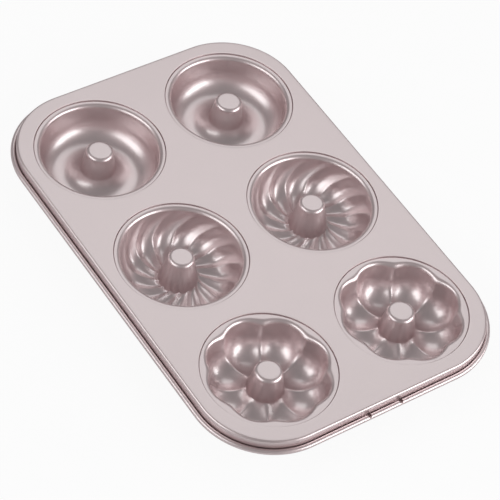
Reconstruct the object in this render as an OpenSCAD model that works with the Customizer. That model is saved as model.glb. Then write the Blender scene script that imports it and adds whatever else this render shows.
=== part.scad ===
// Six-cup doughnut pan pressed from one sheet of coated steel, with a rolled edge.
// The back row is plain, the middle row is fluted and twisted, the front row is a flower.
// Millimetres. The pan stands on its cups, +Z is up and the front row is toward -Y.

/* [Pan] */
// Length of the pan over its rolled edge
pan_length = 290.4; // [286:0.1:340]
// Width of the pan over its rolled edge
pan_width = 196.4; // [194:0.1:240]
// Radius of the pan's corners over the rolled edge
pan_corner = 48; // [20:0.5:60]
// Thickness of the steel sheet
sheet = 0.8; // [0.6:0.05:0.9]
// Coating colour as red, green and blue
coat_red = 0.80; // [0:0.01:1]
coat_green = 0.71; // [0:0.01:1]
coat_blue = 0.70; // [0:0.01:1]

/* [Rim] */
// Radius of the bend from the deck into the skirt
edge_r = 1.4; // [1:0.1:3]
// Height of the straight skirt and its bend, from the deck down to the roll
skirt_drop = 6.5; // [5:0.1:12]
// Inside radius of the roll's lower turn, where it leaves the skirt
roll_start_r = 1.5; // [1.3:0.05:2]
// Inside radius of the closed part of the roll
roll_r = 0.8; // [0.6:0.05:1]
// Angle at which the roll's raw edge stops, past its outermost point
roll_end = 130; // [90:1:135]
// Radius of the two notches in the roll's raw edge
notch_r = 1.35; // [0.8:0.05:1.4]
// Distance between the two notches
notch_pitch = 22; // [10:0.5:40]

/* [Cup layout] */
// Distance between cup centres across the pan
pitch_x = 93; // [86:0.5:96]
// Distance between cup centres along the pan
pitch_y = 93; // [86:0.5:96]
// Width of the ledge between a cup's lip and the shallow step round it
ledge_w = 1.4; // [1:0.1:2.5]
// Depth of that step
ring_step = 0.7; // [0.4:0.05:0.75]
// Radius of each cup's mouth at the outside of its lip
cup_r = 38.6; // [36:0.1:39]
// Depth of every cup, from the deck to its lowest inner surface
cup_depth = 23.6; // [20:0.1:30]

/* [Plain cups] */
// Radius of the plain cup's lip
plain_lip = 2.7; // [1:0.1:3]
// Draft of the plain cup's wall in degrees
plain_draft = 3; // [1:0.5:8]
// Radius between the plain cup's wall and its bottom
plain_bowl_r = 13.3; // [8:0.1:15]
// Width of the flat ring that a plain cup stands on
plain_flat = 2; // [1:0.1:4]
// Radius of the floor where it rises to the post
plain_rise_r = 11.5; // [8:0.1:12.5]
// How far that rise turns before the post, in degrees
plain_rise = 64; // [50:1:75]

/* [Flower cups] */
// Radius of the flower cup's lip
flower_lip = 2.5; // [1:0.1:2.8]
// Draft of the petals' upper walls in degrees
flower_draft = 5; // [0:0.5:8]
// Radius of one petal, round in plan and in section
petal_r = 13.7; // [13:0.1:15]
// Turn of the left flower cup's petals in degrees
flower_turn_left = -5; // [-22:1:22]
// Turn of the right flower cup's petals in degrees
flower_turn_right = -6; // [-22:1:22]
// How far round, in degrees, the notch between two petals is rounded at the lip
petal_notch = 3; // [1:0.5:6]
// Radius of the lip in that notch
notch_lip = 4.5; // [2:0.1:5]
// Draft of the flower cup's post in degrees
flower_post_draft = 14.5; // [8:0.5:16]

/* [Twisted cups] */
// Number of flutes
flutes = 14; // [8:1:20]
// Depth of the hollow between two crests
flute_depth = 1.9; // [0.5:0.1:2.5]
// Radius of the twisted cup's lip
twisted_lip = 2.7; // [1:0.1:3]
// Turn of the left twisted cup's crests in degrees
twist_turn_left = 11.7; // [-20:0.1:20]
// Turn of the right twisted cup's crests in degrees
twist_turn_right = 6.2; // [-20:0.1:20]

/* [Posts] */
// Radius of a post at its top edge
post_r = 8; // [7:0.1:9]
// Radius of the post's rounded top edge
post_edge = 2; // [1:0.1:2.4]
// How far a post's flat top lies below the deck
post_drop = 1.4; // [0.8:0.1:4]

/* [Hidden] */
$fn = 96;

// How far a cup's ledge runs under the deck, where the sheet steps down
step_lap = 0.7;
// Height of the tools that open the cups above the deck
clear = 1;
// Samples round a rounded edge
edge_steps = 4;
// Samples round a large arc
bowl_steps = 10;
// Petals of a flower cup, the samples across each and the rows up its bowl
petals = 8;
petal_steps = 5;
flower_rows = 8;
// How far round, in degrees, the ridge between two petals is rounded at its foot
ridge_soft = 1;
// Samples between two crests of a twisted cup
flute_steps = [0, 0.18, 0.5, 0.82];
// How far the twisted cup's lip turns down from the ledge, in degrees
lip_turn = 69;
// How far along a crest, in its points, the hollows still fall along the post's flank
foot_blend = 2;

skirt_r = pan_corner - roll_r - sheet - roll_start_r;
corner_x = pan_width / 2 - pan_corner;
corner_y = pan_length / 2 - pan_corner;
skirt_y = corner_y + skirt_r;
ring_r = cup_r + ledge_w;
ledge_r = ring_r + step_lap;
ledge_z = -ring_step;
coat = [coat_red, coat_green, coat_blue];

// Points on an arc round c from angle a0 to a1
function arc(c, r, a0, a1, steps) =
    [for (i = [0:steps]) c + r * [cos(a0 + (a1 - a0) * i / steps), sin(a0 + (a1 - a0) * i / steps)]];

function unit(v) = v / norm(v);
function left_of(v) = [-v[1], v[0]];

// The far side of a sheet of thickness t whose near side follows p, to the left of the way p runs
function far_side(p, t) =
    let (last = len(p) - 1)
    [for (i = [0:last])
        let (before = unit(left_of(p[max(i, 1)] - p[max(i, 1) - 1])))
        let (after = unit(left_of(p[min(i, last - 1) + 1] - p[min(i, last - 1)])))
        p[i] + t * (before + after) / (1 + before * after)];

function reversed(p) = [for (i = [len(p) - 1:-1:0]) p[i]];

// Section of the sheet along the path p
module section(p) {
    polygon(concat(p, reversed(far_side(p, sheet))));
}

// The rim: the roll from its raw edge down, under and in, then the skirt and its bend into the deck
roll_z = -skirt_drop - roll_start_r + roll_r;

function rim_path() =
    let (closed = arc([roll_start_r, roll_z], roll_r, 360 + roll_end, 270, bowl_steps))
    let (low = arc([roll_start_r, -skirt_drop], roll_start_r, 270, 180, edge_steps * 2))
    let (bend = arc([-edge_r, -edge_r], edge_r, 0, 90, edge_steps))
    concat(closed, [for (i = [1:len(low) - 1]) low[i]], bend, [[-skirt_r, 0]]);

// One section carried round the four corners and along the four sides
module round_pan(p) {
    for (side = [0, 1]) {
        rotate(180 * side) {
            translate([corner_x, corner_y]) rotate_extrude(angle = 90) translate([skirt_r, 0]) section(p);
            translate([-corner_x, corner_y]) rotate(90) rotate_extrude(angle = 90) translate([skirt_r, 0]) section(p);
            translate([corner_x, corner_y]) rotate([90, 0, 0]) linear_extrude(2 * corner_y)
                translate([skirt_r, 0]) section(p);
            translate([-corner_x, corner_y]) rotate([90, 0, 90]) linear_extrude(2 * corner_x)
                translate([skirt_r, 0]) section(p);
        }
    }
}

module deck_and_rim() {
    difference() {
        union() {
            round_pan(rim_path());
            translate([-corner_x, -corner_y, -sheet]) cube([2 * corner_x, 2 * corner_y, sheet]);
        }
        for (side = [-1, 1])
            translate([side * notch_pitch / 2, -skirt_y - roll_start_r, roll_z])
                cylinder(r = notch_r, h = roll_r + sheet + step_lap);
        for (column = [-1, 1], row = [-1:1])
            translate([column * pitch_x / 2, row * pitch_y, -clear - sheet])
                cylinder(r = ring_r, h = sheet + 2 * clear);
    }
}

// Plain cup: a round channel with a post in the middle
function plain_path() =
    let (lip_c = [cup_r, ledge_z - plain_lip])
    let (top = lip_c + plain_lip * [-cos(plain_draft), sin(plain_draft)])
    let (bowl_z = -cup_depth + plain_bowl_r)
    let (wall = (top[1] - bowl_z + plain_bowl_r * sin(plain_draft)) / cos(plain_draft))
    let (bowl_x = top[0] - wall * sin(plain_draft) - plain_bowl_r * cos(plain_draft))
    concat(
        [[ledge_r, ledge_z]],
        arc(lip_c, plain_lip, 90, 180 - plain_draft, edge_steps),
        arc([bowl_x, bowl_z], plain_bowl_r, -plain_draft, -90, bowl_steps),
        arc([bowl_x - plain_flat, -cup_depth + plain_rise_r], plain_rise_r, -90, -90 - plain_rise, bowl_steps),
        arc([post_r - post_edge, -post_drop - post_edge], post_edge, 0, 90, edge_steps),
        [[0, -post_drop]]);

module plain_cup() {
    rotate_extrude() section(plain_path());
}

// A pressed cup from rings of points on its upper surface, from the post's flat top out to the ledge
function wrapped(ring, j) = ring[(j + len(ring)) % len(ring)];

// The underside of that surface: each point moved by the sheet's thickness, square to what lies round it
function underside(rings, t) =
    let (last = len(rings) - 1)
    [for (i = [0:last]) [for (j = [0:len(rings[i]) - 1])
        let (here = rings[i][j])
        let (along = wrapped(rings[i], j + 1) - wrapped(rings[i], j - 1))
        let (inward = i == 0 ? [here[0], here[1], 0] : here - rings[i - 1][j])
        let (outward = i == last ? inward : rings[i + 1][j] - here)
        let (n1 = unit(cross(inward, along)))
        let (n2 = unit(cross(outward, along)))
        here - t * (n1 + n2) / (1 + n1 * n2)]];

module pressed_cup(rings) {
    lower = underside(rings, sheet);
    count = len(rings[0]);
    rows = len(rings);
    under = count * rows;
    middle = 2 * under;
    top_middle = [0, 0, rings[0][0][2]];
    spans = [for (i = [0:rows - 2], j = [0:count - 1])
        [i * count + j, i * count + (j + 1) % count, (i + 1) * count + (j + 1) % count, (i + 1) * count + j]];
    polyhedron(
        points = concat([for (ring = rings) for (q = ring) q], [for (ring = lower) for (q = ring) q],
            [top_middle, top_middle - [0, 0, sheet]]),
        faces = concat(
            [for (q = spans) for (face = [[q[0], q[1], q[2]], [q[0], q[2], q[3]]]) face],
            [for (q = spans) for (face = [[q[2], q[1], q[0]], [q[3], q[2], q[0]]]) [for (k = face) under + k]],
            [for (j = [0:count - 1]) [middle, (j + 1) % count, j]],
            [for (j = [0:count - 1]) [middle + 1, under + j, under + (j + 1) % count]],
            [for (j = [0:count - 1])
                let (a = (rows - 1) * count + j)
                let (b = (rows - 1) * count + (j + 1) % count)
                for (face = [[under + a, a, b], [under + a, b, under + b]]) face]));
}

// Section of a post's rounded top edge, from its flat top outward
post_top = reversed(arc([post_r - post_edge, -post_drop - post_edge], post_edge, 0, 90, 2));

// Flower cup: petals that are round in plan and in section, round a tapered post
petal_wall = cup_depth - petal_r - ring_step - flower_lip;
petal_spread = petal_wall * tan(flower_draft);
petal_at = cup_r - flower_lip - petal_spread - petal_r;

// How far the petal's ball reaches, in the plane through the cup's middle, m degrees from its own middle
function petal_reach(m) = sqrt(pow(petal_r, 2) - pow(petal_at * sin(m), 2));

// Angle from the middle of the nearest petal to a place near the notch, m degrees from that middle,
// where the notch is rounded over the angle soft
function rounded(m, soft) = 180 / petals - norm([180 / petals - abs(m), soft]);

// Section through a flower cup at an angle m from the middle of a petal, as radius and height
function flower_section(m) =
    let (low = rounded(m, ridge_soft))
    let (bowl = [petal_at * cos(low), petal_r - cup_depth])
    let (r = petal_reach(low))
    let (down = [sin(flower_post_draft), -cos(flower_post_draft)])
    let (from_bowl = post_top[2] - bowl)
    let (b = down * from_bowl)
    let (foot = from_bowl + down * (sqrt(b * b - from_bowl * from_bowl + r * r) - b))
    let (foot_angle = atan2(foot[1], foot[0]) - (foot[0] < 0 && foot[1] > 0 ? 360 : 0))
    let (side = [for (i = [0:flower_rows])
        let (share = i / flower_rows)
        let (soft = ridge_soft + (petal_notch - ridge_soft) * pow(share, 3))
        let (turn = foot_angle * (1 - share))
        petal_at * [cos(rounded(m, soft)), 0] + [0, petal_r - cup_depth]
            + petal_reach(rounded(m, soft)) * [cos(turn), sin(turn)]])
    let (notch_share = pow(rounded(m, petal_notch) * petals / 180, 3))
    let (lip_r = flower_lip + (notch_lip - flower_lip) * notch_share)
    let (lip = [side[flower_rows][0] + petal_spread + lip_r, ledge_z - lip_r])
    concat(post_top, side, arc(lip, lip_r, 180, 90, 2), [[ledge_r, ledge_z]]);

module flower_cup() {
    sections = [for (k = [0:petals * petal_steps - 1])
        let (angle = 360 * k / (petals * petal_steps))
        let (m = (k % petal_steps) * 360 / petals / petal_steps - 180 / petals)
        [for (q = flower_section(m)) [q[0] * cos(angle), q[0] * sin(angle), q[1]]]];
    rotate(-180 / petals)
        pressed_cup([for (i = [0:len(sections[0]) - 1]) [for (s = sections) s[i]]]);
}

// Twisted cup: the line of one crest from the foot of the post to the start of the lip.
// Each point has its share of the cup's radius, its share of the crest's depth,
// its turn in degrees and the share of the full depth that the hollow beside it has.
crest_depth = cup_depth - flute_depth;
lip_start = [cup_r, ledge_z - twisted_lip] + twisted_lip * [-sin(lip_turn), cos(lip_turn)];
crest_line = [
    [0.305, 0.935, 24, 0.65],
    [0.365, 0.980, 18, 0.80],
    [0.469, 0.994, 12, 1],
    [0.573, 0.994, 7.5, 1],
    [0.677, 0.940, 4, 1],
    [0.781, 0.760, 0, 1],
    [0.861, 0.484, -8.5, 0.8],
    [0.913, 0.235, -17, 0.3],
    [lip_start[0] / cup_r, -lip_start[1] / crest_depth, -20, 0]];

function spline(p, t) =
    let (i = min(floor(t), len(p) - 2))
    let (f = t - i)
    let (p0 = p[max(i - 1, 0)])
    let (p3 = p[min(i + 2, len(p) - 1)])
    p[i] + f * (p[i + 1] - p0) / 2 + f * f * (2 * p0 - 5 * p[i] + 4 * p[i + 1] - p3) / 2
        + f * f * f * (p3 - p0 + 3 * (p[i] - p[i + 1])) / 2;

// A point of the fluted floor, t along the crest line and u of the way from one crest to the next
function flute_point(t, u) =
    let (here = spline(crest_line, t))
    let (step = spline(crest_line, min(t + 0.1, len(crest_line) - 1)) - spline(crest_line, max(t - 0.1, 0)))
    let (square = -left_of(unit([cup_r * step[0], -crest_depth * step[1]])))
    let (foot = [cup_r * crest_line[0][0], -crest_depth * crest_line[0][1]])
    let (flank = unit(foot - [post_r, -post_drop - post_edge]))
    let (down = unit(square + max(0, 1 - t / foot_blend) * (flank - square)))
    let (hollow = flute_depth * here[3] * (1 - pow(2 * u - 1, 2)))
    [cup_r * here[0], -crest_depth * here[1]] + hollow * down;

// Section of the twisted cup's lip above the crest line, as radius and height
lip_path = [for (i = [1:2])
    [cup_r, ledge_z - twisted_lip] + twisted_lip * [-sin(lip_turn * (1 - i / 2)), cos(lip_turn * (1 - i / 2))]];

module twisted_cup() {
    pitch = 360 / flutes;
    places = [for (i = [0:flutes - 1]) for (u = flute_steps) [i, u]];
    foot_turn = crest_line[0][2];
    top = [for (q = post_top) [for (place = places)
        let (angle = foot_turn + pitch * (place[0] + place[1]))
        [q[0] * cos(angle), q[0] * sin(angle), q[1]]]];
    floor = [for (t = [0:len(crest_line) - 1]) [for (place = places)
        let (angle = crest_line[t][2] + pitch * (place[0] + place[1]))
        let (q = flute_point(t, place[1]))
        [q[0] * cos(angle), q[0] * sin(angle), q[1]]]];
    lip = [for (q = concat(lip_path, [[ledge_r, ledge_z]])) [for (place = places)
        let (angle = crest_line[len(crest_line) - 1][2] + pitch * (place[0] + place[1]))
        [q[0] * cos(angle), q[0] * sin(angle), q[1]]]];
    pressed_cup(concat(top, floor, lip));
}

module pan() {
    color(coat) translate([0, 0, cup_depth + sheet]) {
        deck_and_rim();
        for (column = [-1, 1])
            translate([column * pitch_x / 2, pitch_y]) plain_cup();
        translate([-pitch_x / 2, 0]) rotate(twist_turn_left) twisted_cup();
        translate([pitch_x / 2, 0]) rotate(twist_turn_right) twisted_cup();
        translate([-pitch_x / 2, -pitch_y]) rotate(flower_turn_left) flower_cup();
        translate([pitch_x / 2, -pitch_y]) rotate(flower_turn_right) flower_cup();
    }
}

pan();
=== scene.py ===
"""Six-cup doughnut pan in champagne-coloured coated steel, photographed on a white table."""
import math

import bmesh
import bpy
from mathutils import Matrix, Vector


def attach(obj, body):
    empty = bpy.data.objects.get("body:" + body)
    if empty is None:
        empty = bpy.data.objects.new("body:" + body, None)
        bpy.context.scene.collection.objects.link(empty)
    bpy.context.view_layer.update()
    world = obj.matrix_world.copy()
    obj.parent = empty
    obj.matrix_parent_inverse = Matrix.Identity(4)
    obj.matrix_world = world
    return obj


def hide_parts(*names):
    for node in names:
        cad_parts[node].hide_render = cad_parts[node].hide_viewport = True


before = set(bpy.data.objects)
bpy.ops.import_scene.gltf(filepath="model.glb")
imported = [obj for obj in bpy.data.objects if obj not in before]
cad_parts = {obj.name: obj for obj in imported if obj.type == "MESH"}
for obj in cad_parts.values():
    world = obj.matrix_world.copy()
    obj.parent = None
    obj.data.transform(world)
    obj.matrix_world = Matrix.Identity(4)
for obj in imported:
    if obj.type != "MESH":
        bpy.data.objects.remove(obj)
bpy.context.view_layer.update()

MM = 0.001
# Points that lie closer than this become one, in metres
MERGE = 0.00001

# The pan, in millimetres. Heights inside the cups are counted down from the deck's top.
SHEET = 0.8
CUP_DEPTH = 23.6
DECK_TOP = CUP_DEPTH + SHEET
PAN_LENGTH = 290.4
PAN_WIDTH = 196.4
PAN_CORNER = 48.0
EDGE_R = 1.4
SKIRT_DROP = 6.5
# The edge turns outward at the first radius and closes at the second, up to an angle in degrees
ROLL_START_R = 1.5
ROLL_R = 0.8
ROLL_END = 130.0
NOTCH_R = 1.35
NOTCH_PITCH = 22.0
PITCH = 93.0
CUP_R = 38.6
LEDGE_W = 1.4
RING_R = CUP_R + LEDGE_W
RING_STEP = 0.7
POST_DROP = 1.4

SKIRT_R = PAN_CORNER - ROLL_R - SHEET - ROLL_START_R
CORNER_X = PAN_WIDTH / 2 - PAN_CORNER
CORNER_Y = PAN_LENGTH / 2 - PAN_CORNER
ROLL_Z = -SKIRT_DROP - ROLL_START_R + ROLL_R

CUP_PLACES = [(x * PITCH / 2, y * PITCH) for x in (-1, 1) for y in (1, 0, -1)]
# Where a cup's piece meets the deck's piece, on the flat of the deck
SEAM_R = 41.4
# Steps round a cup, round a corner of the deck and along a side of it
AROUND = 224
CORNER_STEPS = 32
SIDE_STEPS = 12


def select_only(piece):
    bpy.ops.object.select_all(action="DESELECT")
    piece.select_set(True)
    bpy.context.view_layer.objects.active = piece


def arc(cx, cz, r, a0, a1, steps):
    """Points on an arc, as radius and height, from angle a0 to a1 in degrees."""
    angles = [math.radians(a0 + (a1 - a0) * i / steps) for i in range(steps + 1)]
    return [(cx + r * math.cos(a), cz + r * math.sin(a)) for a in angles]


def chain(name, points):
    """A line of vertices through points, extruded one from the other, left in edit mode."""
    bpy.ops.object.select_all(action="DESELECT")
    bpy.ops.mesh.primitive_plane_add(size=MM)
    piece = bpy.context.active_object
    piece.name = name
    piece.data.name = name
    bpy.ops.object.mode_set(mode="EDIT")
    bpy.ops.mesh.select_all(action="SELECT")
    bpy.ops.mesh.merge(type="CENTER")
    here = Vector((0.0, 0.0, 0.0))
    for k, point in enumerate(points):
        step = Vector(point) * MM - here
        if k == 0:
            bpy.ops.transform.translate(value=step)
        else:
            bpy.ops.mesh.extrude_region_move(TRANSFORM_OT_translate={"value": step})
        here = here + step
    return piece


def weld():
    bpy.ops.mesh.select_all(action="SELECT")
    bpy.ops.mesh.remove_doubles(threshold=MERGE)
    bpy.ops.mesh.normals_make_consistent(inside=False)


def face_up(piece):
    """Turns an open sheet so that its upper side is its outside."""
    up = sum(face.normal.z * face.area for face in piece.data.polygons)
    if up < 0:
        piece.data.flip_normals()


def thicken(piece):
    """Gives the sheet its thickness below the modelled upper side."""
    select_only(piece)
    solid = piece.modifiers.new("sheet", "SOLIDIFY")
    solid.thickness = SHEET * MM
    solid.offset = -1.0
    solid.use_even_offset = True
    solid.use_quality_normals = True
    bpy.ops.object.modifier_apply(modifier=solid.name)


# The cups. A name that ends in STEPS says into how many pieces a line or an arc of a section is cut.
POST_TOP_STEPS = 4
POST_EDGE_STEPS = 10
POST_SIDE_STEPS = 12
WALL_STEPS = 6
LIP_STEPS = 12


def post_section(post_r, edge_r, lean):
    """The post's flat top and rounded edge, from the middle outward. Its side leans by lean degrees."""
    flat_r = post_r - edge_r
    flat = [(flat_r * k / POST_TOP_STEPS, -POST_DROP) for k in range(POST_TOP_STEPS)]
    return flat + arc(flat_r, -POST_DROP - edge_r, edge_r, 90, lean, POST_EDGE_STEPS)


# The ledge lies flat from just outside the lip to just inside the crease
LEDGE_START = CUP_R + 0.3
LEDGE_END = RING_R - 0.7
# The fine crease along the foot of the shallow step: its width, its depth, and how far inside the
# step its lowest line runs
CREASE_W = 0.48
CREASE_DEPTH = 0.64
CREASE_LOW = 0.2
# The rounding at the head of the step
HEAD_R = 0.1
HEAD_STEPS = 4


def rim_section():
    """The ledge round a cup's mouth and the shallow step up to the deck, from the lip outward."""
    ledge = [(LEDGE_START, -RING_STEP), (LEDGE_END, -RING_STEP)]
    crease = [
        (RING_R - CREASE_W, -RING_STEP),
        (RING_R - CREASE_LOW, -RING_STEP - CREASE_DEPTH),
        (RING_R, -RING_STEP),
    ]
    head = arc(RING_R + HEAD_R, -HEAD_R, HEAD_R, 180, 90, HEAD_STEPS)
    return ledge + crease + head + [(SEAM_R, 0.0)]


def line(p, q, steps):
    """The points between p and q, without either."""
    return [(p[0] + (q[0] - p[0]) * k / steps, p[1] + (q[1] - p[1]) * k / steps) for k in range(1, steps)]


PLAIN_LIP = 2.7
PLAIN_DRAFT = math.radians(3)
PLAIN_BOWL_R = 13.3
PLAIN_BOWL_STEPS = 24
# The narrow flat ring, and the floor's rise from it to the post, as radius and turn in degrees
PLAIN_FLAT = 0.4
PLAIN_RISE_R = 13.0
PLAIN_RISE = 59.0
PLAIN_RISE_STEPS = 16
PLAIN_POST_R = 8.6
PLAIN_POST_EDGE = 2.6
PLAIN_POST_LEAN = 9.0
PLAIN_SIDE_STEPS = 8


def plain_section(_angle):
    """The section of a plain cup, which is the same at every angle."""
    lip_z = -RING_STEP - PLAIN_LIP
    top_r = CUP_R - PLAIN_LIP * math.cos(PLAIN_DRAFT)
    top_z = lip_z + PLAIN_LIP * math.sin(PLAIN_DRAFT)
    bowl_z = -CUP_DEPTH + PLAIN_BOWL_R
    wall = (top_z - bowl_z + PLAIN_BOWL_R * math.sin(PLAIN_DRAFT)) / math.cos(PLAIN_DRAFT)
    bowl_r = top_r - wall * math.sin(PLAIN_DRAFT) - PLAIN_BOWL_R * math.cos(PLAIN_DRAFT)
    draft = math.degrees(PLAIN_DRAFT)
    rise_r = bowl_r - PLAIN_FLAT
    rise_z = -CUP_DEPTH + PLAIN_RISE_R
    post = post_section(PLAIN_POST_R, PLAIN_POST_EDGE, PLAIN_POST_LEAN)
    rise = arc(rise_r, rise_z, PLAIN_RISE_R, -90 - PLAIN_RISE, -90, PLAIN_RISE_STEPS)
    bowl = arc(bowl_r, bowl_z, PLAIN_BOWL_R, -90, -draft, PLAIN_BOWL_STEPS)
    lip = arc(CUP_R, lip_z, PLAIN_LIP, 180 - draft, 90, LIP_STEPS)
    flank = line(post[-1], rise[0], PLAIN_SIDE_STEPS)
    return post + flank + rise + bowl + line(bowl[-1], lip[0], WALL_STEPS) + lip + rim_section()


PETALS = 8
PETAL_R = 13.7
PETAL_STEPS = 36
# Radius of the lip at the middle of a petal and at the notch between two
FLOWER_LIP = 2.5
NOTCH_LIP = 4.5
FLOWER_LIP_STEPS = 14
FLOWER_LEDGE_STEPS = 3
FLOWER_DRAFT = math.radians(5)
FLOWER_POST_R = 8.6
FLOWER_POST_EDGE = 2.7
FLOWER_POST_LEAN = 9.5
# The straight wall over a petal's ball, how far it leans outward, and the radius the balls stand on
PETAL_WALL = CUP_DEPTH - PETAL_R - RING_STEP - FLOWER_LIP
PETAL_SPREAD = PETAL_WALL * math.tan(FLOWER_DRAFT)
PETAL_AT = CUP_R - FLOWER_LIP - PETAL_SPREAD - PETAL_R
# Angle over which the ridge between two petals is rounded: beside the post, halfway up and at the lip
RIDGE_FOOT = math.radians(14.0)
RIDGE_SOFT = math.radians(1.2)
PETAL_NOTCH = math.radians(3.2)
# Share of the way up a petal over which the ridge rises out of the floor
RIDGE_START = 0.34


def ridge_soft(share):
    """How softly the ridge is rounded, share of the way from the post up to the lip."""
    fading = max(0.0, 1 - share / RIDGE_START)
    return RIDGE_SOFT + (PETAL_NOTCH - RIDGE_SOFT) * share ** 2 + (RIDGE_FOOT - RIDGE_SOFT) * fading ** 2


def petal_reach(aside):
    """How far a petal's ball reaches outward at an angle aside from the petal's middle."""
    return math.sqrt(PETAL_R ** 2 - (PETAL_AT * math.sin(aside)) ** 2)


def flower_section(angle):
    """The section of a flower cup. A petal's middle lies at angle 0."""
    half = math.pi / PETALS
    away = half - abs((angle + half) % (2 * half) - half)
    low = half - math.hypot(away, RIDGE_FOOT)
    bowl_z = PETAL_R - CUP_DEPTH
    post = post_section(FLOWER_POST_R, FLOWER_POST_EDGE, FLOWER_POST_LEAN)
    lean = math.radians(FLOWER_POST_LEAN)
    down = (math.sin(lean), -math.cos(lean))
    off = (post[-1][0] - PETAL_AT * math.cos(low), post[-1][1] - bowl_z)
    along = down[0] * off[0] + down[1] * off[1]
    run = math.sqrt(along ** 2 - off[0] ** 2 - off[1] ** 2 + petal_reach(low) ** 2) - along
    foot = (post[-1][0] + down[0] * run, post[-1][1] + down[1] * run)
    foot_angle = math.atan2(foot[1] - bowl_z, foot[0] - PETAL_AT * math.cos(low))
    side = []
    for k in range(PETAL_STEPS + 1):
        share = k / PETAL_STEPS
        aside = half - math.hypot(away, ridge_soft(share))
        turn = foot_angle * (1 - share)
        reach = petal_reach(aside)
        middle = PETAL_AT * math.cos(aside)
        side.append((middle + reach * math.cos(turn), bowl_z + reach * math.sin(turn)))
    notch_share = (abs(half - math.hypot(away, PETAL_NOTCH)) / half) ** 3
    lip_r = FLOWER_LIP + (NOTCH_LIP - FLOWER_LIP) * notch_share
    lip_at = side[-1][0] + PETAL_SPREAD + lip_r
    lip = arc(lip_at, -RING_STEP - lip_r, lip_r, 180, 90, FLOWER_LIP_STEPS)
    ledge = line(lip[-1], (LEDGE_END, -RING_STEP), FLOWER_LEDGE_STEPS)
    flank = line(post[-1], foot, POST_SIDE_STEPS)
    return post + flank + side + line(side[-1], lip[0], WALL_STEPS) + lip + ledge + rim_section()[1:]


FLUTES = 14
FLUTE_DEPTH = 1.9
CREST_DEPTH = CUP_DEPTH - FLUTE_DEPTH
TWISTED_POST_R = 8.0
TWISTED_POST_EDGE = 2.5
TWISTED_POST_LEAN = 9.0
TWISTED_LIP = 2.7
# How far the lip turns before it meets the flutes, in degrees
LIP_TURN = 69.0
TWISTED_LIP_ARC = arc(CUP_R, -RING_STEP - TWISTED_LIP, TWISTED_LIP, 90 + LIP_TURN, 90, LIP_STEPS)
# One crest from the post's foot to the start of the lip: share of the cup's radius, share of the
# crest's depth, turn in degrees, share of the full depth of the hollow beside it
CREST_LINE = [
    (0.305, 0.935, 24.0, 0.65),
    (0.365, 0.980, 18.0, 0.80),
    (0.469, 0.994, 12.0, 1.0),
    (0.573, 0.994, 7.5, 1.0),
    (0.677, 0.940, 4.0, 1.0),
    (0.781, 0.760, 0.0, 1.0),
    (0.861, 0.484, -8.5, 0.8),
    (0.913, 0.235, -17.0, 0.3),
    (TWISTED_LIP_ARC[0][0] / CUP_R, -TWISTED_LIP_ARC[0][1] / CREST_DEPTH, -20.0, 0.0),
]
CREST_LAST = len(CREST_LINE) - 1
CREST_STEPS = 48
# How far along the crest line the hollows still drop along the post's flank
FOOT_BLEND = 2.0
# How far along the crest line, to each side, its slope is measured
SLOPE_REACH = 0.1
# Share of a flute over which its crest is rounded
CREST_SOFT = 0.05


def spline(p, t):
    """A smooth line through the points p, at t counted in points."""
    i = min(int(t), len(p) - 2)
    f = t - i
    rows = zip(p[max(i - 1, 0)], p[i], p[i + 1], p[min(i + 2, len(p) - 1)])
    return [
        b + f * (c - a) / 2 + f * f * (2 * a - 5 * b + 4 * c - d) / 2 + f ** 3 * (d - a + 3 * (b - c)) / 2
        for a, b, c, d in rows
    ]


def unit(r, z):
    size = math.hypot(r, z)
    return r / size, z / size


def flute_point(t, u):
    """A point of the fluted floor, t along the crest and u of the way from one crest to the next."""
    share_r, share_z, turn, share_hollow = spline(CREST_LINE, t)
    after = spline(CREST_LINE, min(t + SLOPE_REACH, CREST_LAST))
    before = spline(CREST_LINE, max(t - SLOPE_REACH, 0))
    square = unit(-CREST_DEPTH * (after[1] - before[1]), -CUP_R * (after[0] - before[0]))
    flank = unit(
        CUP_R * CREST_LINE[0][0] - TWISTED_POST_R,
        POST_DROP + TWISTED_POST_EDGE - CREST_DEPTH * CREST_LINE[0][1],
    )
    near_post = max(0.0, 1 - t / FOOT_BLEND)
    down = unit(
        square[0] + near_post * (flank[0] - square[0]),
        square[1] + near_post * (flank[1] - square[1]),
    )
    near = min(u, 1 - u)
    near = math.hypot(near, CREST_SOFT) - CREST_SOFT
    hollow = FLUTE_DEPTH * share_hollow * (1 - (1 - 2 * near) ** 2)
    return CUP_R * share_r + hollow * down[0], -CREST_DEPTH * share_z + hollow * down[1], turn


def twisted_section(angle):
    """The section that starts at angle, as radius, height and turn."""
    pitch = 2 * math.pi / FLUTES
    u = (angle / pitch) % 1.0
    floor = [flute_point(CREST_LAST * k / CREST_STEPS, u) for k in range(CREST_STEPS + 1)]
    foot_turn = floor[0][2]
    top = post_section(TWISTED_POST_R, TWISTED_POST_EDGE, TWISTED_POST_LEAN)
    post = [(r, z, foot_turn) for r, z in top]
    flank = [(r, z, foot_turn) for r, z in line(post[-1], floor[0], POST_SIDE_STEPS)]
    rim = [(r, z, floor[-1][2]) for r, z in TWISTED_LIP_ARC[1:] + rim_section()]
    return post + flank + floor + rim


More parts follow.
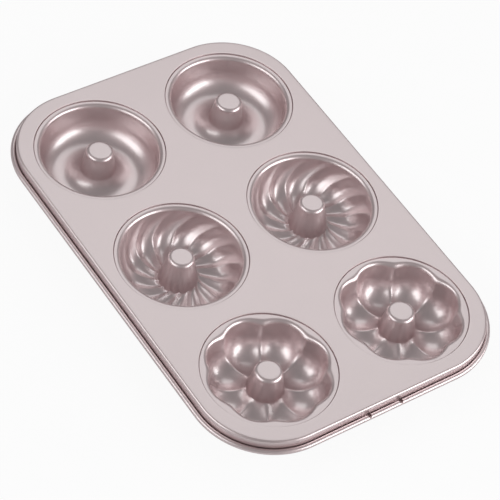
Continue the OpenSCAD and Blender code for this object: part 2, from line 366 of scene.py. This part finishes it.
def press_cup(name, section):
    """A flat disc of rings, spun from a chain, is pressed to the section at each angle."""
    rings = len(section(0.0))
    piece = chain(name, [(float(k), 0.0, 0.0) for k in range(rings)])
    bpy.ops.mesh.select_all(action="SELECT")
    bpy.ops.mesh.spin(steps=AROUND, angle=2 * math.pi, center=(0.0, 0.0, 0.0), axis=(0.0, 0.0, 1.0))
    weld()
    bpy.ops.object.mode_set(mode="OBJECT")
    sections = {}
    for vertex in piece.data.vertices:
        ring = round(math.hypot(vertex.co.x, vertex.co.y) / MM)
        place = round(math.atan2(vertex.co.y, vertex.co.x) * AROUND / (2 * math.pi)) % AROUND
        if place not in sections:
            sections[place] = section(2 * math.pi * place / AROUND)
        point = sections[place][ring]
        turn = math.radians(point[2]) if len(point) > 2 else 0.0
        angle = 2 * math.pi * place / AROUND + turn
        across = (point[0] * math.cos(angle), point[0] * math.sin(angle))
        vertex.co = Vector((*across, point[1] + DECK_TOP)) * MM
    select_only(piece)
    bpy.ops.object.mode_set(mode="EDIT")
    weld()
    bpy.ops.object.mode_set(mode="OBJECT")
    face_up(piece)
    return piece


def set_cup(piece, x, y, turn):
    """Turns a cup, moves it to its place and gives the sheet its thickness."""
    select_only(piece)
    piece.rotation_euler[2] = math.radians(turn)
    piece.location = (x * MM, y * MM, 0.0)
    bpy.ops.object.transform_apply(location=True, rotation=True, scale=False)
    thicken(piece)


def twin(piece, name):
    """A copy of a piece, with a mesh of its own."""
    copy = piece.copy()
    copy.data = piece.data.copy()
    copy.name = name
    copy.data.name = name
    bpy.context.collection.objects.link(copy)
    return copy


def make_cups():
    """Each kind of cup is pressed once and copied. Left and right cup turn by so many degrees."""
    made = []
    kinds = (
        ("plain_cup", plain_section, PITCH, 0.0, 0.0),
        ("twisted_cup", twisted_section, 0.0, 11.7, 6.2),
        ("flower_cup", flower_section, -PITCH, -5.0, -6.0),
    )
    for name, section, y, turn_left, turn_right in kinds:
        left = press_cup(name + "_left", section)
        right = twin(left, name + "_right")
        set_cup(left, -PITCH / 2, y, turn_left)
        set_cup(right, PITCH / 2, y, turn_right)
        made += [left, right]
    return made


# The deck and its rolled rim


# How much of the deck's flat is swept with the rim
DECK_MARGIN = 1.2
BEND_STEPS = 10
SKIRT_STEPS = 4
TUCK_STEPS = 8
ROLL_STEPS = 24


def rim_path():
    """The sheet's upper and outer side, from the flat of the deck over the skirt and round the roll."""
    bend = arc(-EDGE_R, -EDGE_R, EDGE_R, 90, 0, BEND_STEPS)
    low = arc(ROLL_START_R, -SKIRT_DROP, ROLL_START_R, 180, 270, TUCK_STEPS)
    closed = arc(ROLL_START_R, ROLL_Z, ROLL_R, -90, ROLL_END, ROLL_STEPS)
    skirt = line(bend[-1], low[0], SKIRT_STEPS)
    return [(-EDGE_R - DECK_MARGIN, 0.0)] + bend + skirt + low + closed[1:]


def sweep_rim():
    """The rim's section carried along the sides and spun round the corners."""
    start = [(CORNER_X + SKIRT_R + s, -CORNER_Y, z + DECK_TOP) for s, z in rim_path()]
    deck = chain("deck", start)
    bpy.ops.mesh.select_all(action="SELECT")
    corners = ((1, 1), (-1, 1), (-1, -1), (1, -1))
    runs = ((0.0, 1.0), (-1.0, 0.0), (0.0, -1.0), (1.0, 0.0))
    for (cx, cy), (dx, dy) in zip(corners, runs):
        length = 2 * (CORNER_Y if dx == 0 else CORNER_X) * MM
        for _ in range(SIDE_STEPS):
            step = Vector((dx, dy, 0.0)) * length / SIDE_STEPS
            bpy.ops.mesh.extrude_region_move(TRANSFORM_OT_translate={"value": step})
        middle = Vector((cx * CORNER_X, cy * CORNER_Y, 0.0)) * MM
        bpy.ops.mesh.spin(steps=CORNER_STEPS, angle=-math.pi / 2, center=middle, axis=(0.0, 0.0, 1.0))
    bpy.ops.mesh.select_all(action="SELECT")
    bpy.ops.mesh.remove_doubles(threshold=MERGE)
    return deck


# How far below the deck's top an edge still counts as level with it
LEVEL_SLACK = 0.001


def fill_deck(deck):
    """The flat of the deck, with a round hole where each cup goes."""
    bpy.ops.mesh.select_all(action="DESELECT")
    for x, y in CUP_PLACES:
        bpy.ops.mesh.primitive_circle_add(
            vertices=AROUND, radius=SEAM_R * MM, location=(x * MM, y * MM, DECK_TOP * MM)
        )
    bpy.ops.mesh.select_mode(type="EDGE")
    bpy.ops.mesh.select_all(action="DESELECT")
    mesh = bmesh.from_edit_mesh(deck.data)
    level = (DECK_TOP - LEVEL_SLACK) * MM
    for edge in mesh.edges:
        edge.select_set(len(edge.link_faces) < 2 and all(v.co.z > level for v in edge.verts))
    bmesh.update_edit_mesh(deck.data)
    bpy.ops.mesh.fill(use_beauty=True)
    bpy.ops.mesh.select_mode(type="VERT")
    bpy.ops.mesh.select_all(action="SELECT")
    bpy.ops.mesh.normals_make_consistent(inside=False)
    bpy.ops.object.mode_set(mode="OBJECT")
    face_up(deck)


# The punch for a notch goes this far past the roll's upper side
PUNCH_REACH = 0.4
PUNCH_SIDES = 48


def cut_notches(deck):
    """The two round notches in the roll's raw edge, at the front."""
    for side in (-1, 1):
        bpy.ops.object.select_all(action="DESELECT")
        low = DECK_TOP + ROLL_Z
        high = low + ROLL_R + SHEET + PUNCH_REACH
        bpy.ops.mesh.primitive_cylinder_add(
            vertices=PUNCH_SIDES,
            radius=NOTCH_R * MM,
            depth=(high - low) * MM,
            location=(
                side * NOTCH_PITCH / 2 * MM,
                -(CORNER_Y + SKIRT_R + ROLL_START_R) * MM,
                (high + low) / 2 * MM,
            ),
        )
        punch = bpy.context.active_object
        select_only(deck)
        cut = deck.modifiers.new("notch", "BOOLEAN")
        cut.operation = "DIFFERENCE"
        cut.object = punch
        cut.solver = "EXACT"
        bpy.ops.object.modifier_apply(modifier=cut.name)
        bpy.data.objects.remove(punch, do_unlink=True)


def make_deck():
    deck = sweep_rim()
    fill_deck(deck)
    thicken(deck)
    cut_notches(deck)
    return deck


# Finishes


class Value:
    """A socket of a shader whose sums and products add Math nodes."""

    def __init__(self, shader, socket):
        self.shader = shader
        self.socket = socket

    def maths(self, operation, *inputs):
        return self.shader.node("ShaderNodeMath", {"operation": operation}, dict(enumerate(inputs)))

    def __add__(self, other):
        return self.maths("ADD", self, other)

    def __radd__(self, other):
        return self.maths("ADD", other, self)

    def __mul__(self, other):
        return self.maths("MULTIPLY", self, other)


class Finish:
    """A material that is put together node by node."""

    def __init__(self, name):
        self.material = bpy.data.materials.new(name)
        self.material.use_nodes = True
        self.tree = self.material.node_tree
        self.tree.nodes.clear()

    def node(self, kind, settings, inputs, output=0):
        """Makes a node, sets what kind of sum or ramp it is, then its values and links.

        A ramp has two stops, each with its place and its colour.
        """
        made = self.tree.nodes.new(kind)
        for key, value in settings.items():
            if key == "stops":
                for element, (place, colour) in zip(made.color_ramp.elements, value):
                    element.position = place
                    element.color = colour
            else:
                setattr(made, key, value)
        for key, value in inputs.items():
            if isinstance(value, Value):
                self.tree.links.new(value.socket, made.inputs[key])
            else:
                made.inputs[key].default_value = value
        return Value(self, made.outputs[output])

    def surface(self, shader):
        out = self.tree.nodes.new("ShaderNodeOutputMaterial")
        self.tree.links.new(shader.socket, out.inputs["Surface"])
        return self.material


# Most of a noise lies between these two, which is where a ramp has its stops
NOISE_LOW = 0.3
NOISE_HIGH = 0.7
# How much the fine flakes and the faint clouds each give to the coating's shade
FLAKE_SHARE = 0.7
CLOUD_SHARE = 0.3
# The metal's roughness between flakes, and what a flake adds
SATIN = 0.44
FLAKE_SATIN = 0.10
WHITE = (1.0, 1.0, 1.0, 1.0)
MAUVE_DARK = (0.64, 0.475, 0.482, 1.0)
MAUVE_LIGHT = (0.70, 0.525, 0.532, 1.0)
TABLE_DARK = (0.88, 0.88, 0.88, 1.0)
TABLE_LIGHT = (0.92, 0.92, 0.92, 1.0)
# How much of the table's look is its own white where the camera sees it
TABLE_WHITE = 0.93
# Faces that meet at less than this angle are shaded as one surface
SMOOTH_ANGLE = math.radians(35)


def coated_steel():
    """Champagne non-stick coating: a satin mauve metal under a clearer silvery layer."""
    finish = Finish("champagne_coating")
    place = finish.node("ShaderNodeTexCoord", {}, {}, "Object")
    flake = finish.node("ShaderNodeTexNoise", {}, {"Vector": place, "Scale": 2600.0, "Detail": 2.0})
    cloud = finish.node("ShaderNodeTexNoise", {}, {"Vector": place, "Scale": 45.0, "Detail": 3.0})
    shade = finish.node(
        "ShaderNodeValToRGB",
        {"stops": ((NOISE_LOW, MAUVE_DARK), (NOISE_HIGH, MAUVE_LIGHT))},
        {"Fac": flake * FLAKE_SHARE + cloud * CLOUD_SHARE},
    )
    peel = finish.node("ShaderNodeTexNoise", {}, {"Vector": place, "Scale": 700.0, "Detail": 1.0})
    bump = finish.node("ShaderNodeBump", {}, {"Strength": 0.05, "Distance": 0.0001, "Height": peel})
    shader = finish.node(
        "ShaderNodeBsdfPrincipled",
        {},
        {
            "Base Color": shade,
            "Metallic": 1.0,
            "Roughness": SATIN + flake * FLAKE_SATIN,
            "Coat Weight": 1.0,
            "Coat Roughness": 0.28,
            "Coat IOR": 4.0,
            "Normal": bump,
        },
    )
    return finish.surface(shader)


def table_top():
    """Matt white table. The camera sees mostly its own white, which leaves a faint shadow of the pan."""
    finish = Finish("white_table")
    place = finish.node("ShaderNodeTexCoord", {}, {}, "Object")
    grain = finish.node("ShaderNodeTexNoise", {}, {"Vector": place, "Scale": 60.0, "Detail": 2.0})
    tone = finish.node(
        "ShaderNodeValToRGB",
        {"stops": ((NOISE_LOW, TABLE_DARK), (NOISE_HIGH, TABLE_LIGHT))},
        {"Fac": grain},
    )
    matt = finish.node("ShaderNodeBsdfDiffuse", {}, {"Color": tone})
    glow = finish.node("ShaderNodeEmission", {}, {"Color": WHITE, "Strength": 1.0})
    seen = finish.node("ShaderNodeLightPath", {}, {}, "Is Camera Ray")
    both = finish.node("ShaderNodeMixShader", {}, {0: seen * TABLE_WHITE, 1: matt, 2: glow})
    return finish.surface(both)


def give(piece, material):
    piece.data.materials.clear()
    piece.data.materials.append(material)
    select_only(piece)
    bpy.ops.object.shade_smooth_by_angle(angle=SMOOTH_ANGLE)


# Studio, in metres, degrees and watts
TABLE_SIZE = 6.0
# The table lies this far below the pan, so that their faces don't lie in each other
TABLE_GAP = 0.0002
ROOM_LIGHT = 0.27
# Azimuth, with 0 in front of the pan and 90 on its right, elevation, distance, width, height, power
SOFTBOXES = {
    "right_softbox": (38.0, 22.0, 1.5, 1.5, 0.9, 12.6),
    "left_softbox": (260.0, 34.0, 1.5, 1.5, 0.8, 7.2),
    "back_softbox": (138.0, 52.0, 1.6, 1.2, 0.9, 2.8),
}


def make_floor():
    bpy.ops.object.select_all(action="DESELECT")
    bpy.ops.mesh.primitive_plane_add(size=TABLE_SIZE, location=(0.0, 0.0, -TABLE_GAP))
    floor = bpy.context.active_object
    floor.name = "table"
    floor.data.materials.append(table_top())


def softbox(name, azimuth, elevation, distance, width, height, watts):
    """A soft rectangular lamp that faces the pan."""
    bpy.ops.object.select_all(action="DESELECT")
    out = distance * math.cos(math.radians(elevation))
    place = Vector((
        out * math.sin(math.radians(azimuth)),
        -out * math.cos(math.radians(azimuth)),
        distance * math.sin(math.radians(elevation)),
    ))
    bpy.ops.object.light_add(type="AREA", location=place)
    lamp = bpy.context.active_object
    lamp.name = name
    lamp.data.shape = "RECTANGLE"
    lamp.data.size = width
    lamp.data.size_y = height
    lamp.data.energy = watts
    lamp.rotation_euler = (-place).to_track_quat("-Z", "Y").to_euler()


def make_light():
    """A dim room, a softbox on each side of the camera and one behind the pan."""
    world = bpy.data.worlds.new("studio")
    bpy.context.scene.world = world
    world.use_nodes = True
    background = world.node_tree.nodes["Background"]
    background.inputs["Color"].default_value = WHITE
    background.inputs["Strength"].default_value = ROOM_LIGHT
    for name, settings in SOFTBOXES.items():
        softbox(name, *settings)


# The camera looks down over the front left corner of the pan
VIEW_AZIMUTH = math.radians(317.92)
VIEW_ELEVATION = math.radians(49.276)
VIEW_ROLL = math.radians(11.653)
VIEW_DISTANCE = 1.3458
VIEW_TARGET = Vector((-8.574, -14.984, DECK_TOP)) * MM
SENSOR_WIDTH = 36.0
# The focal length in pixels, over the picture's width in pixels
LENS = 2298.2 / 500 * SENSOR_WIDTH


def make_camera():
    away = Vector((
        math.sin(VIEW_AZIMUTH) * math.cos(VIEW_ELEVATION),
        -math.cos(VIEW_AZIMUTH) * math.cos(VIEW_ELEVATION),
        math.sin(VIEW_ELEVATION),
    ))
    bpy.ops.object.camera_add(location=VIEW_TARGET + away * VIEW_DISTANCE)
    camera = bpy.context.active_object
    level = (-away).to_track_quat("-Z", "Y").to_matrix()
    camera.rotation_euler = (level @ Matrix.Rotation(VIEW_ROLL, 3, "Z")).to_euler()
    camera.data.lens = LENS
    camera.data.sensor_width = SENSOR_WIDTH
    bpy.context.scene.camera = camera


make_camera()
make_light()
make_floor()
coating = coated_steel()
for piece in make_cups() + [make_deck()]:
    give(piece, coating)
    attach(piece, "root")
    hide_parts("pan")
bpy.context.scene.view_settings.view_transform = "Standard"
